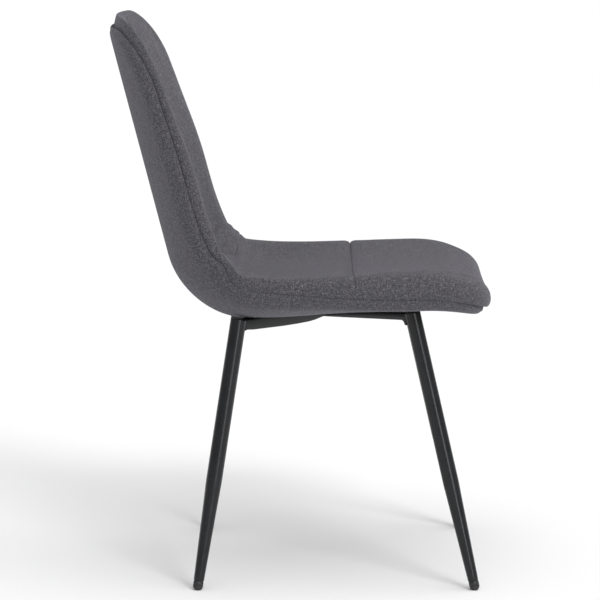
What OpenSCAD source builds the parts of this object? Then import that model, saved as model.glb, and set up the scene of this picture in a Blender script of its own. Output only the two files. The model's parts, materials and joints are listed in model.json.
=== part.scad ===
// Dining chair: an upholstered one-piece seat and back on a crossed steel frame
// with four splayed, tapered legs.
// The chair faces -Y and +Z is up. The origin is on the floor, under the middle.

/* [Shell shape] */
// Half width of the seat shell
seat_half_w = 222; // [205:1:232]
// Half width of the back shell
back_half_w = 196; // [180:1:205]
// Length of the seat line, from its front edge to the corner of the bend
seat_len = 475; // [450:1:500]
// Length of the back line, from the corner of the bend to the shell's top edge
back_len = 461; // [430:1:480]
// Height of the bend's corner above the floor
bend_z = 397; // [390:1:420]
// Distance of the bend's corner behind the chair's middle
bend_y = 182; // [170:0.5:200]
// Radius of the bend, on its outer side
bend_r = 119; // [110:1:125]
// Rise of the seat towards its front, in degrees
seat_tilt = 2.6; // [1:0.1:4]
// Lean of the back, in degrees from upright
back_lean = 14.4; // [10:0.1:18]
// How far the seat's side edges stand above its middle at the front
seat_lift = 16.5; // [12:0.5:20]
// How far the back's side edges stand in front of its middle
back_lift = 49.5; // [40:0.5:52]
// How far the seat's front edge falls below the line of the seat
front_fall = 18; // [10:1:24]
// Corner radius at the front of the seat
front_corner_r = 82; // [60:1:90]
// Corner radius at the top of the back
top_corner_r = 92; // [70:1:110]
// Rise of the top edge between its corners
top_arch = 10; // [0:1:15]

/* [Upholstery] */
// Thickness of every fabric cover with its backing
cover_t = 2; // [1.5:0.1:2.5]
// Thickness of the moulded plywood
ply_t = 10; // [8:0.5:12]
// Distance from the outer cover's face to the plywood
ply_gap = 8; // [7:0.5:10]
// Distance from the outer cover's face to the pads' face
pad_h = 56.5; // [52:0.5:60]
// Extra depth of the pads where seat and back meet
crease_fill = 23; // [10:1:24]
// How far the back pad stands above the shell's top edge
pad_proud = 15; // [10:1:25]
// Distance of the seat's cross seam behind the front edge
seam_t = 208; // [180:1:240]
// Distance of the back's channel seams from the middle
channel_x = 68; // [60:1:76]

/* [Frame and legs] */
// Half distance between the feet, side to side
foot_x = 212; // [200:1:220]
// Distance of the rear feet behind the middle
rear_foot_y = 156; // [150:0.5:170]
// Distance of the front feet in front of the middle
front_foot_y = 266.5; // [255:0.5:275]
// Half distance between the tops of the legs, side to side
leg_top_x = 162; // [155:1:170]
// Distance of the rear legs' tops behind the middle
rear_top_y = 93; // [85:0.5:105]
// Distance of the front legs' tops in front of the middle
front_top_y = 170; // [158:0.5:175]
// Radius of a leg's tube
leg_r = 12.1; // [11:0.1:12.5]
// Radius of a leg at its foot
leg_foot_r = 7.5; // [7:0.1:8]
// Length of the tapered lower part of a leg
taper_len = 165; // [120:5:200]
// Wall thickness of a leg
leg_wall = 1.5; // [1.2:0.1:2]
// Width of the crossed bars
bar_w = 21; // [18:0.5:21]
// Distance of the bolts from the crossing of the bars
bolt_r = 100; // [90:1:110]

/* [Hidden] */

fabric_colour = [0.29, 0.28, 0.31];
foam_colour = [0.90, 0.86, 0.70];
wood_colour = [0.78, 0.64, 0.44];
steel_colour = [0.10, 0.11, 0.12];
zinc_colour = [0.75, 0.75, 0.72];

gap = 0.3;              // clearance between neighbouring layers
fall_len = 110;         // length over which the seat's front falls
shell_front = 13;       // distance of the shell's front edge behind the seat line's end
lower_edge_r = 20;      // rounding of the outer cover's edges
front_roll_r = 34;      // rounding of the pads at the seat's front
side_roll_r = 32;       // rounding of the pads at the sides
top_roll_r = 85;        // rounding of the pads at the back's top
pad_front = 1;          // place of the seat pad's front edge along the seat line
channel_share = 0.36;   // part of the back pad's grid that the middle channel takes
ply_inset = 14;         // distance of the plywood inside the shell's edge
foam_inset = 30;        // distance of the outer foam inside the shell's edge
edge_share = 0.1;       // part of a pad's depth left at its edge
foam_in = 6;            // distance of the pads' foam inside their covers' edge

// The shell's middle line runs back along the seat, round the bend and up the back.
turn = 90 - back_lean + seat_tilt;
tangent = bend_r * tan(turn / 2);
t_bend = seat_len - tangent;
t_back = t_bend + bend_r * turn * PI / 180;
t_top = t_back + back_len - tangent;
t_crease = t_bend + 0.22 * (t_back - t_bend);
t_pad_top = t_top + pad_proud;

function lerp(a, b, k) = a + (b - a) * k;
function clamp01(k) = max(0, min(1, k));
function smooth(k) = let(c = clamp01(k)) c * c * (3 - 2 * c);

// Steps from a to b. The steps get short at both ends, or at one of them.
function both_ends(a, b, n) = [for (i = [0:n]) lerp(a, b, (1 - cos(180 * i / n)) / 2)];
function first_end(a, b, n) = [for (i = [0:n]) lerp(a, b, 1 - cos(90 * i / n))];
function last_end(a, b, n) = [for (i = [0:n]) lerp(a, b, sin(90 * i / n))];

function heading(t) = -seat_tilt + turn * clamp01((t - t_bend) / (t_back - t_bend));

function seat_point(t) =
    [bend_y - (seat_len - t) * cos(seat_tilt), bend_z + (seat_len - t) * sin(seat_tilt)];

function back_point(t) =
    let(s = t - t_back + tangent)
    [bend_y + s * sin(back_lean), bend_z + s * cos(back_lean)];

function bend_point(t) =
    let(a = heading(t), start = seat_point(t_bend))
    start + bend_r * [sin(a) + sin(seat_tilt), cos(seat_tilt) - cos(a)];

function centre_point(t) =
    t < t_bend ? seat_point(t) : t > t_back ? back_point(t) : bend_point(t);

// Half width before the corners are rounded.
function straight_half_w(t) =
    lerp(seat_half_w, back_half_w, smooth((t - t_bend + 60) / (t_back - t_bend + 60)));

// How much a corner of radius r takes off the half width at distance d from its end.
function corner_cut(d, r) = d >= r ? 0 : r - sqrt(max(0, r * r - (r - d) * (r - d)));

function half_width(t, t0, t1, inset) =
    straight_half_w(t) - inset
    - corner_cut(t - t0, front_corner_r - inset) - corner_cut(t1 - t, top_corner_r - inset);

function bell(k) = exp(-k * k);

// How far the shell's side edges stand in front of its middle line.
function edge_lift(t) =
    lerp(seat_lift, back_lift, smooth((t - 100) / 400)) + 20 * bell((t - 480) / 75)
    - 9 * smooth((t - 660) / 200);

// How late the sides turn up: the shell is flattest just before the bend.
function lift_power(t) = 2.2 + 2.4 * bell((t - 340) / 100);

function side_lift(x, t) = edge_lift(t) * pow(abs(x) / straight_half_w(t), lift_power(t));

function fall(t) = front_fall * pow(max(0, 1 - t / fall_len), 2);

// The point at x across and t along the shell, h inwards from its outer face.
function shell_point(x, t, h) =
    let(arch = top_arch * pow(x / back_half_w, 2) * smooth((t - t_back) / (t_top - t_back)),
        c = centre_point(t - arch), a = heading(t - arch),
        k = side_lift(x, t - arch) + h - fall(t - arch))
    [x, c[0] - sin(a) * k, c[1] + cos(a) * k];

// Height of the seat part of the shell at x, y, h inwards from its outer face.
function seat_z(x, y, h) =
    let(t = seat_len - (bend_y - y) / cos(seat_tilt))
    bend_z + (bend_y - y) * tan(seat_tilt) + (side_lift(x, t) + h - fall(t)) / cos(seat_tilt);

// Quarter-round falling from 1 to 0 over the last r of a distance d to an edge.
function roll(d, r) = d >= r ? 1 : sqrt(max(0, 1 - pow(1 - max(d, 0) / r, 2)));

function groove(d, depth, r) = depth * (1 - roll(abs(d), r));

// Across the shell: evenly, or with the back's channel seams at fixed places.
even_across = function(u, w) u * w;
channelled = function(u, w)
    let(beyond = max(0, (abs(u) - channel_share) / (1 - channel_share)))
    sign(u) * (min(abs(u) / channel_share, 1) * channel_x + beyond * (w - channel_x));

// A grid of points on one face of a layer. deep(d_side, d_front, d_top, x, t) is its
// depth in the shell, from the distances to the layer's own edges.
function face_grid(us, ts, t0, t1, inset, deep, wider = 0, across = even_across) = [
    for (t = ts) [
        for (u = us)
            let(w = half_width(t, t0, t1, inset) + wider * pad_wider(t), x = across(u, w))
            shell_point(x, t, deep(w - abs(x), t - t0, t1 - t, x, t))
    ]
];

// How much wider the pads are than the shell.
function pad_wider(t) = lerp(3, -1, smooth((t - t_bend) / 150));

// Depth of the outer cover's face and of a pad's face, moved inwards by s.
outer_depth = function(s) function(side, front, top, x, t)
    s + (ply_gap + ply_t) * (1 - roll(side, lower_edge_r) * roll(front, lower_edge_r)
    * roll(top, lower_edge_r));

// The pads' face: thinner towards the top, filled out at the crease, and held back
// in the bend.
function pad_face(x, t) =
    let(near = t < t_crease ? (t_crease - t) / 90 : (t - t_crease) / 140,
        on_back = smooth((t - t_bend) / 150),
        top = pad_h + crease_fill * (1 - smooth(near)) - 4 * smooth((t - 190) / 140)
            - 6 * on_back - 14 * smooth((t - 640) / 240) - 6 * smooth((t - 800) / 80),
        limit = 77.5 + 19 * smooth((t - 360) / 170) + 6 * bell((t - 430) / 40)
            + 50 * smooth((t - 600) / 60) - side_lift(x, t))
    limit - 4 * ln(1 + exp((limit - top) / 4)) - 1;

// The part of a pad's thickness that its sewn seams draw in.
function seam_grooves(x, t) =
    groove(t - seam_t, 0.17, 12) + groove(t - t_crease, 0.1, 12)
    + (t < t_crease ? 0 : groove(abs(x) - channel_x, 0.35, 18));

pad_depth = function(s) function(side, front, top, x, t)
    let(base = ply_gap + ply_t + gap,
        soft = roll(side, side_roll_r) * roll(front, front_roll_r) * roll(top, top_roll_r))
    base + (pad_face(x, t) - s - base) * max(edge_share, soft) * (1 - seam_grooves(x, t));

flat_depth = function(h) function(side, front, top, x, t) h;

// One closed solid between two grids of the same size.
module between(low, high) {
    rows = len(low);
    cols = len(low[0]);
    top = rows * cols;
    pts = [for (g = [low, high]) for (row = g) for (p = row) p];
    skins = [
        for (i = [0:rows - 2]) for (j = [0:cols - 2])
            let(a = i * cols + j, b = a + 1, c = a + cols, d = c + 1)
            each [[a, b, d], [a, d, c], [top + a, top + d, top + b], [top + a, top + c, top + d]]
    ];
    ends = [
        for (j = [0:cols - 2]) for (i = [0, rows - 1])
            let(a = i * cols + j, b = a + 1, p = i == 0 ? a : b, q = i == 0 ? b : a)
            each [[p, top + p, top + q], [p, top + q, q]]
    ];
    sides = [
        for (i = [0:rows - 2]) for (j = [0, cols - 1])
            let(a = i * cols + j, b = a + cols, p = j == 0 ? b : a, q = j == 0 ? a : b)
            each [[p, top + p, top + q], [p, top + q, q]]
    ];
    polyhedron(points = pts, faces = concat(skins, ends, sides), convexity = 8);
}

// A layer of the shell between two depths, from t0 to t1, with its edges moved in.
module shell_layer(inset, low, high, steps_t = 30, steps_u = 14) {
    t0 = shell_front + inset;
    t1 = t_top - inset;
    us = both_ends(-1, 1, steps_u);
    ts = both_ends(t0, t1, steps_t);
    between(face_grid(us, ts, t0, t1, inset, low), face_grid(us, ts, t0, t1, inset, high));
}

// One sewn panel of the pads' cover.
module cover_panel(us, ts, across = even_across) {
    between(face_grid(us, ts, pad_front, t_pad_top, cover_t, pad_depth(cover_t), 1, across),
            face_grid(us, ts, pad_front, t_pad_top, 0, pad_depth(0), 1, across));
}

// One foam pad, which fills the space under its cover.
foam_t0 = pad_front + foam_in;
foam_t1 = t_pad_top - foam_in;

module foam_pad(us, ts, across = even_across) {
    base = ply_gap + ply_t + gap;
    between(face_grid(us, ts, foam_t0, foam_t1, foam_in + side_roll_r / 2, flat_depth(base),
                      1, across),
            face_grid(us, ts, foam_t0, foam_t1, foam_in, pad_depth(cover_t + gap), 1, across));
}

// The crossed bars meet at one point, and each arm runs from there to a leg.
cross_y = (rear_top_y - front_top_y) / 2;
cross_top_z = 402;
cross_low_z = 390.5;
bolt_hole_r = 3.3;
bolt_shank_r = 2.95;
nut_hole_r = 4.1;
washer_t = 1.6;
washer_r = 8;

// sy is -1 for a front leg or arm and 1 for a rear one; sx is -1 or 1 for the side.
function top_y(sy) = sy < 0 ? -front_top_y : rear_top_y;
function foot_y(sy) = sy < 0 ? -front_foot_y : rear_foot_y;
function top_z(sy) = sy < 0 ? 420 : 409;
function leg_top(sx, sy) = [sx * leg_top_x, top_y(sy), top_z(sy)];
function leg_foot(sx, sy) = [sx * foot_x, foot_y(sy), 0];
function arm_len(sy) = norm([leg_top_x, top_y(sy) - cross_y]);
function arm_angle(sx, sy) = atan2(top_y(sy) - cross_y, sx * leg_top_x);
function bolt_place(sx, sy) =
    [bolt_r * cos(arm_angle(sx, sy)), cross_y + bolt_r * sin(arm_angle(sx, sy))];
function bolt_seat_z(sy) = sy < 0 ? 403.7 : 391.6;

module each_bolt() {
    for (sx = [-1, 1], sy = [-1, 1]) {
        p = bolt_place(sx, sy);
        translate([p[0], p[1], 0]) children();
    }
}

// Puts its children's +Z along the line from a to b, with their origin at a and
// their +X outwards, away from the bars.
module aim(a, b) {
    d = b - a;
    translate(a)
        rotate([0, acos(d[2] / norm(d)), atan2(d[1], d[0])])
            rotate([0, 0, 180])
                children();
}

glide_len = 14;         // length of a glide below its leg's tube
glide_ball_r = 7.7;
glide_ball_z = 6.3;
stem_r = 6;
stem_len = 22;

// A leg's form between two distances from its foot, with its radius made larger or
// smaller by extra: a tapered lower part under a straight tube.
module leg_form(sx, sy, from, to, extra) {
    slope = (leg_r - leg_foot_r) / taper_len;
    low = min(from, taper_len);
    aim(leg_foot(sx, sy), leg_top(sx, sy))
        rotate_extrude($fn = 64)
            polygon(concat(
                [[0, from]],
                from < taper_len ? [[leg_foot_r + slope * low + extra, low]] : [],
                from < taper_len ? [[leg_r + extra, taper_len]] : [[leg_r + extra, from]],
                [[leg_r + extra, to], [0, to]]));
}

function leg_len(sx, sy) = norm(leg_top(sx, sy) - leg_foot(sx, sy));

module leg(sx, sy) {
    color(steel_colour)
        difference() {
            leg_form(sx, sy, glide_len, leg_len(sx, sy), 0);
            leg_form(sx, sy, glide_len - 1, leg_len(sx, sy) - leg_wall, -leg_wall);
        }
}

module foot_glide(sx, sy) {
    a = leg_foot(sx, sy);
    b = leg_top(sx, sy);
    rise = norm(b - a) / b[2];
    color(steel_colour)
        difference() {
            union() {
                aim(a, b) translate([0, 0, glide_ball_z * rise])
                    cylinder(h = glide_len - glide_ball_z * rise, r = leg_foot_r, $fn = 64);
                aim(a, b) translate([0, 0, glide_ball_z * rise])
                    cylinder(h = stem_len, r = stem_r, $fn = 64);
                translate(lerp(a, b, glide_ball_z / b[2])) sphere(r = glide_ball_r, $fn = 64);
            }
            translate([a[0] - 20, a[1] - 20, -20]) cube([40, 40, 20]);
        }
}

crossing = 16;          // length over which every bar is level next to the crossing

// Side outlines, against the distance from the crossing: an arm's lower edge
// outwards and then its end.
function front_edge() =
    let(len = arm_len(-1), fillet_r = 8, end = len - 10.5, low = cross_low_z + 16)
    concat([[crossing, cross_low_z]],
           [for (a = [90:-16:10]) [end - fillet_r * (1 - cos(a)), low - fillet_r * (1 - sin(a))]],
           [[len - 2, low - fillet_r + 1], [len - 2, cross_top_z + 16],
            [crossing, cross_top_z]]);

function rear_edge() =
    let(len = arm_len(1))
    [[crossing, cross_low_z], [50, 386.7], [bolt_r + 12, 387.4], [len - 24, 390.5],
     [len - 10, 392], [len - 2, 391], [len - 2, cross_top_z + 6], [crossing, cross_top_z]];

function mirrored_back(pts) = [for (i = [len(pts) - 1:-1:0]) [-pts[i][0], pts[i][1]]];

// Stands an outline up along an arm's line, as thick as a bar is wide.
module bar(angle, outline) {
    translate([0, cross_y, 0])
        rotate([90, 0, angle])
            translate([0, 0, -bar_w / 2])
                linear_extrude(height = bar_w)
                    polygon(outline);
}

module arm_cuts(sx, sy) {
    p = bolt_place(sx, sy);
    leg_form(sx, sy, 300, leg_len(sx, sy) + 30, 0.02);
    translate([p[0], p[1], 350]) cylinder(h = 80, r = bolt_hole_r, $fn = 48);
    translate([p[0], p[1], 350])
        cylinder(h = bolt_seat_z(sy) - 350, r = washer_r + 0.5, $fn = 48);
}

// The long bar runs from the front left leg to the rear right leg.
module long_bar_body() {
    bar(arm_angle(1, -1), concat([[0, cross_low_z]], front_edge(), [[0, cross_top_z]],
                                 mirrored_back(rear_edge())));
}

module cross_bar() {
    color(steel_colour)
        difference() {
            long_bar_body();
            arm_cuts(1, -1);
            arm_cuts(-1, 1);
        }
}

module cross_arm(sx, sy) {
    color(steel_colour)
        difference() {
            bar(arm_angle(sx, sy), concat([[0, cross_low_z]],
                sy < 0 ? front_edge() : rear_edge(), [[0, cross_top_z]]));
            long_bar_body();
            arm_cuts(sx, sy);
        }
}

module frame_washers() {
    color(zinc_colour)
        for (sx = [-1, 1], sy = [-1, 1]) {
            p = bolt_place(sx, sy);
            translate([p[0], p[1], bolt_seat_z(sy) - washer_t])
                difference() {
                    cylinder(h = washer_t, r = washer_r, $fn = 48);
                    translate([0, 0, -1]) cylinder(h = washer_t + 2, r = 3.2, $fn = 48);
                }
        }
}

nut_flange_t = 1.5;
nut_flange_r = 9.5;
nut_lift = 0.9;         // the flange's clearance over the sloping plywood

function nut_z(sx, sy) =
    let(p = bolt_place(sx, sy)) seat_z(abs(p[0]), p[1], ply_gap + ply_t) + nut_lift;

module frame_bolts() {
    head_r = 5.5;
    head_h = 2.6;
    color(steel_colour)
        for (sx = [-1, 1], sy = [-1, 1]) {
            p = bolt_place(sx, sy);
            z = bolt_seat_z(sy) - washer_t;
            translate([p[0], p[1], z])
                difference() {
                    union() {
                        cylinder(h = nut_z(sx, sy) + 3 - z, r = bolt_shank_r, $fn = 48);
                        translate([0, 0, -head_h])
                            cylinder(h = head_h, r1 = head_r - 1.8, r2 = head_r, $fn = 48);
                    }
                    translate([0, 0, -head_h - 1]) cylinder(h = 2.8, r = 2.3, $fn = 6);
                }
        }
}

module tee_nuts() {
    color(zinc_colour)
        for (sx = [-1, 1], sy = [-1, 1]) {
            p = bolt_place(sx, sy);
            translate([p[0], p[1], nut_z(sx, sy)])
                difference() {
                    union() {
                        cylinder(h = nut_flange_t, r = nut_flange_r, $fn = 48);
                        translate([0, 0, -8]) cylinder(h = 8, r = 4, $fn = 48);
                    }
                    translate([0, 0, -9]) cylinder(h = 12, r = 3, $fn = 48);
                }
        }
}

module bolt_wells(r, z, h) {
    each_bolt() translate([0, 0, z]) cylinder(h = h, r = r, $fn = 48);
}

module outer_cover() {
    color(fabric_colour)
        difference() {
            shell_layer(0, outer_depth(0), outer_depth(cover_t), 34, 16);
            bolt_wells(nut_hole_r, 380, 80);
        }
}

module outer_foam() {
    s = cover_t + gap;
    color(foam_colour)
        difference() {
            shell_layer(foam_inset, flat_depth(s), flat_depth(ply_gap - gap), 22, 10);
            bolt_wells(nut_hole_r, 380, 80);
        }
}

module plywood_shell() {
    color(wood_colour)
        difference() {
            shell_layer(ply_inset, flat_depth(ply_gap), flat_depth(ply_gap + ply_t), 26, 12);
            bolt_wells(nut_hole_r, 380, 80);
        }
}

module seat_foam() {
    well_top = 452;
    color(foam_colour)
        difference() {
            foam_pad(both_ends(-1, 1, 14), concat(
                first_end(foam_t0, seam_t - 12, 8),
                [seam_t], [for (k = [0:6]) lerp(seam_t + 12, t_crease - gap, k / 6)]));
            bolt_wells(nut_flange_r + 1, 400, well_top - 400);
        }
}

side_us = [1, 0.97, 0.9, 0.8, 0.68, channel_share + 0.17, channel_share + 0.07, channel_share];
back_us = concat([for (u = side_us) -u], [for (k = [-3:3]) channel_share * k / 4],
                 [for (k = [len(side_us) - 1:-1:0]) side_us[k]]);

module back_foam() {
    color(foam_colour)
        foam_pad(back_us, last_end(t_crease + gap, foam_t1, 14), channelled);
}

module seat_cover_front() {
    color(fabric_colour)
        cover_panel(both_ends(-1, 1, 16), concat(
            first_end(pad_front, seam_t - 12, 9), [seam_t - 4, seam_t - gap]));
}

module seat_cover_rear() {
    color(fabric_colour)
        cover_panel(both_ends(-1, 1, 16),
                    concat([seam_t + gap, seam_t + 4],
                           [for (k = [0:6]) lerp(seam_t + 12, t_crease - gap, k / 6)]));
}

module back_cover_side(sx) {
    us = [for (k = [len(side_us) - 1:-1:0]) side_us[k] + (k == len(side_us) - 1 ? 0.002 : 0)];
    color(fabric_colour)
        mirror([sx < 0 ? 1 : 0, 0, 0])
            cover_panel(us, last_end(t_crease + gap, t_pad_top, 14), channelled);
}

module back_cover_centre() {
    us = [for (k = [-4:4]) channel_share * k / 4];
    color(fabric_colour)
        cover_panel(us, last_end(t_crease + gap, t_pad_top, 14), channelled);
}

dust_half_w = 110;
dust_t0 = 115;
dust_t1 = t_bend - 20;
dust_cover_t = 0.5;
dust_gap = 0.1;
staple = [10, 1.4, 0.5];

module dust_cover() {
    us = [for (k = [-5:5]) k / 5];
    ts = [for (k = [0:5]) lerp(dust_t0, dust_t1, k / 5)];
    grid = function(h) [for (t = ts) [for (u = us) shell_point(u * dust_half_w, t, h)]];
    color([0.06, 0.06, 0.06])
        difference() {
            between(grid(-dust_gap - dust_cover_t), grid(-dust_gap));
            bolt_wells(nut_hole_r, 380, 80);
        }
}

// A staple's crown, lying flat under the dust cover's edge.
module staple_at(x, t, turned) {
    slope = side_lift(abs(x) + 0.5, t) - side_lift(abs(x) - 0.5, t);
    translate(shell_point(x, t, -dust_gap - dust_cover_t - staple[2] / 2))
        rotate([-seat_tilt, -sign(x) * atan(slope), turned])
            cube(staple, center = true);
}

module staples() {
    color(zinc_colour) {
        for (sx = [-1, 1], k = [0:7])
            staple_at(sx * (dust_half_w - 5), lerp(dust_t0 + 14, dust_t1 - 14, k / 7), 90);
        for (t = [dust_t0 + 5, dust_t1 - 5], k = [-3:3])
            staple_at(k * 30, t, 0);
    }
}

outer_cover();
outer_foam();
plywood_shell();
seat_foam();
back_foam();
seat_cover_front();
seat_cover_rear();
back_cover_side(1);  // back_cover_left
back_cover_centre();
back_cover_side(-1);  // back_cover_right
dust_cover();
staples();
tee_nuts();
cross_bar();
cross_arm(-1, -1);  // cross_arm_front
cross_arm(1, 1);  // cross_arm_rear
frame_bolts();
frame_washers();
leg(1, -1);  // leg_front_left
leg(-1, -1);  // leg_front_right
leg(1, 1);  // leg_rear_left
leg(-1, 1);  // leg_rear_right
foot_glide(1, -1);  // foot_glide_front_left
foot_glide(-1, -1);  // foot_glide_front_right
foot_glide(1, 1);  // foot_glide_rear_left
foot_glide(-1, 1);  // foot_glide_rear_right
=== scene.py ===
"""Looks of the dining chair: padded fabric shell, crossed black steel frame, splayed legs.

The chair faces -Y, +Z is up, the floor is z = 0, and every length is in metres.
"""

import json
import math

import bmesh
import bpy
import numpy as np
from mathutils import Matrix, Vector


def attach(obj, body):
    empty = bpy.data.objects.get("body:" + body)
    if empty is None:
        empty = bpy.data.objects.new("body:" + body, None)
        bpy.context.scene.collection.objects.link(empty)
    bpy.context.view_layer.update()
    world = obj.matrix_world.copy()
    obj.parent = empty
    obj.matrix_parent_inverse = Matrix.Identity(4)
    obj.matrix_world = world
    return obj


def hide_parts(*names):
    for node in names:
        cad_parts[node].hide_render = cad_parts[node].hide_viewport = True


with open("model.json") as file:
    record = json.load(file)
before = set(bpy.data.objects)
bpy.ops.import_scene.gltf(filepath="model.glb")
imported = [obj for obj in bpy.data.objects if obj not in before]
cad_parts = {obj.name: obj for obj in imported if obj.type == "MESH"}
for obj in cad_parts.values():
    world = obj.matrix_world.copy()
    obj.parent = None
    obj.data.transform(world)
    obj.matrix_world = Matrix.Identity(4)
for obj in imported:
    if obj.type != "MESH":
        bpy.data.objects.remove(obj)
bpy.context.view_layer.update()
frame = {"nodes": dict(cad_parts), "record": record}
NODES = frame["nodes"]
UP = Vector((0, 0, 1))
FEET = {m["name"]: Vector(m["pos_m"]) for m in frame["record"]["mounts"]}

# ---------------------------------------------------------------- driving sizes

# The shell's middle line: a straight seat, a bend, and a straight leaning back.
SEAT_HALF_W = 0.222
BACK_HALF_W = 0.196
SEAT_LEN = 0.475
BACK_LEN = 0.461
BEND_Y = 0.182
BEND_Z = 0.397
BEND_R = 0.119
SEAT_TILT = math.radians(2.6)
BACK_LEAN = math.radians(14.4)
FRONT_CORNER_R = 0.082
TOP_CORNER_R = 0.092
TOP_ARCH = 0.010

# The front of the seat falls in a soft curve over this length.
FALL_LEN = 0.110
FALL = 0.018

# Upholstery.
SHELL_EDGE_R = 0.020      # rounding of the outer cover's edge
SEAM_H = 0.0165           # depth of the seam between outer cover and pads
SEAM_DROP = 0.008         # how much lower that seam runs along the top edge
PAD_H = 0.0565            # the pads' face over the outer cover's face
BULGE_H = 0.031           # depth where the pads' sides stand out furthest
CREASE_FILL = 0.023       # extra depth of the pads where seat and back meet
PAD_SIDE_R = 0.030        # rounding of the pads at the sides
PAD_FRONT_R = 0.025       # rounding of the seat pad at the front
PAD_TOP_R = 0.085         # rounding of the back pad at the top
PAD_BASE_H = 0.0185       # depth of the pads' underside, over the plywood
BACK_BLEND = 0.15         # length over which the pads take on the back's form
CHANNEL_X = 0.068         # the back's channel seams, from the middle
CHANNEL_SHARE = 0.36      # part of the back pad's grid that the middle channel takes
SEAM_T = 0.208            # the seat's cross seam, behind the front edge
CROSS_GROOVE = (0.005, 0.011)    # depth and rounding of each seam's groove
CHANNEL_GROOVE = (0.010, 0.018)
CREASE_GROOVE = (0.003, 0.012)
PUFF_PRESSURE = 3.0
PUFF_CAP = 0.0035         # the furthest that the air in a pad moves its cloth
COVER_T = 0.0018
RIM_R = 0.003             # rounding of the outer cover's rim
RIM_TURN = 0.0045         # width of the part of the rim that is turned in
COVER_IN = 0.008          # how far the outer cover's inner face stays inside its edge

# Frame and legs.
LEG_R = 0.0121
LEG_FOOT_R = 0.0075
TAPER_LEN = 0.165         # the lower end of each leg is drawn in to a cone
LEG_TOP_X = 0.162
LEG_TOPS = {"front": (-0.170, 0.420), "rear": (0.093, 0.409)}
BAR_W = 0.021
BAR_EDGE_R = 0.0022
ARM_START = 0.0085        # the half arms begin here, just inside the long bar's side
BOLT_R = 0.100            # distance of the bolts from the crossing of the bars
BOLT_SEATS = {"front": 0.4037, "rear": 0.3916}
POCKET_R = 0.0085         # radius of the pocket for a bolt's head and washer
DRILL_FROM = 0.37         # a height below every bar
CROSS_TOP = 0.402
CROSS_LOW = 0.3905
LEVEL_END = 0.016         # every bar is level this far from the crossing
GLIDE_LEN = 0.014
GLIDE_BALL_R = 0.0077
GLIDE_BALL_Z = 0.0063

# A standing viewer's place on the sitter's right, with a long lens.
CAMERA_AT = (-4.5614, 0.0, 1.0960)
CAMERA_DOWN = math.radians(8.506)
CAMERA_LENS = 176.2
CAMERA_SENSOR = 36.0

TURN = math.pi / 2 - BACK_LEAN + SEAT_TILT
TANGENT = BEND_R * math.tan(TURN / 2)
T_BEND = SEAT_LEN - TANGENT
T_BACK = T_BEND + BEND_R * TURN
T_TOP = T_BACK + BACK_LEN - TANGENT
T_CREASE = T_BEND + 0.22 * (T_BACK - T_BEND)
SHELL_FRONT = 0.013
PAD_FRONT = 0.001
PAD_TOP = T_TOP + 0.015


# ---------------------------------------------------------------- the shell's form

def smooth(k):
    k = np.clip(k, 0, 1)
    return k * k * (3 - 2 * k)


def bell(k):
    return np.exp(-k * k)


def roll(d, r):
    """Quarter round: 0 at an edge, rising to 1 at distance r from it."""
    return np.sqrt(np.clip(1 - (1 - np.clip(d / r, 0, 1)) ** 2, 0, 1))


def heading(t):
    return -SEAT_TILT + TURN * np.clip((t - T_BEND) / (T_BACK - T_BEND), 0, 1)


def middle_line(t):
    """y and z of the outer cover's middle line at distance t from the front edge."""
    a = heading(t)
    before = SEAT_LEN - np.minimum(t, T_BEND)
    beyond = np.maximum(t - T_BACK, 0)
    y = BEND_Y - before * math.cos(SEAT_TILT) + BEND_R * (np.sin(a) + math.sin(SEAT_TILT))
    z = BEND_Z + before * math.sin(SEAT_TILT) + BEND_R * (math.cos(SEAT_TILT) - np.cos(a))
    return y + beyond * math.sin(BACK_LEAN), z + beyond * math.cos(BACK_LEAN)


def half_width(t):
    return SEAT_HALF_W + (BACK_HALF_W - SEAT_HALF_W) * smooth((t - T_BEND + 0.06)
                                                              / (T_BACK - T_BEND + 0.06))


def edge_lift(t):
    """How far the shell's side edges stand in front of its middle line."""
    rise = 0.0165 + 0.033 * smooth((t - 0.10) / 0.40)
    bend = 0.020 * bell((t - 0.480) / 0.075)
    return rise + bend - 0.009 * smooth((t - 0.66) / 0.20)


def lift_power(t):
    """How late the sides turn up: the shell is flattest just before the bend."""
    return 2.2 + 2.4 * bell((t - 0.34) / 0.10)


def side_lift(x, t):
    return edge_lift(t) * (np.abs(x) / half_width(t)) ** lift_power(t)


def shell_point(x, t, h):
    """The point x across and t along the shell, h inwards from its outer face."""
    arch = TOP_ARCH * (x / BACK_HALF_W) ** 2 * smooth((t - T_BACK) / (T_TOP - T_BACK))
    t = t - arch
    a = heading(t)
    y, z = middle_line(t)
    lift = side_lift(x, t)
    fall = FALL * np.clip(1 - t / FALL_LEN, 0, 1.5) ** 2
    k = lift + h - fall
    x = x + 0 * t    # one x for every t
    return np.stack([x, y - np.sin(a) * k, z + np.cos(a) * k], axis=-1)


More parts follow.
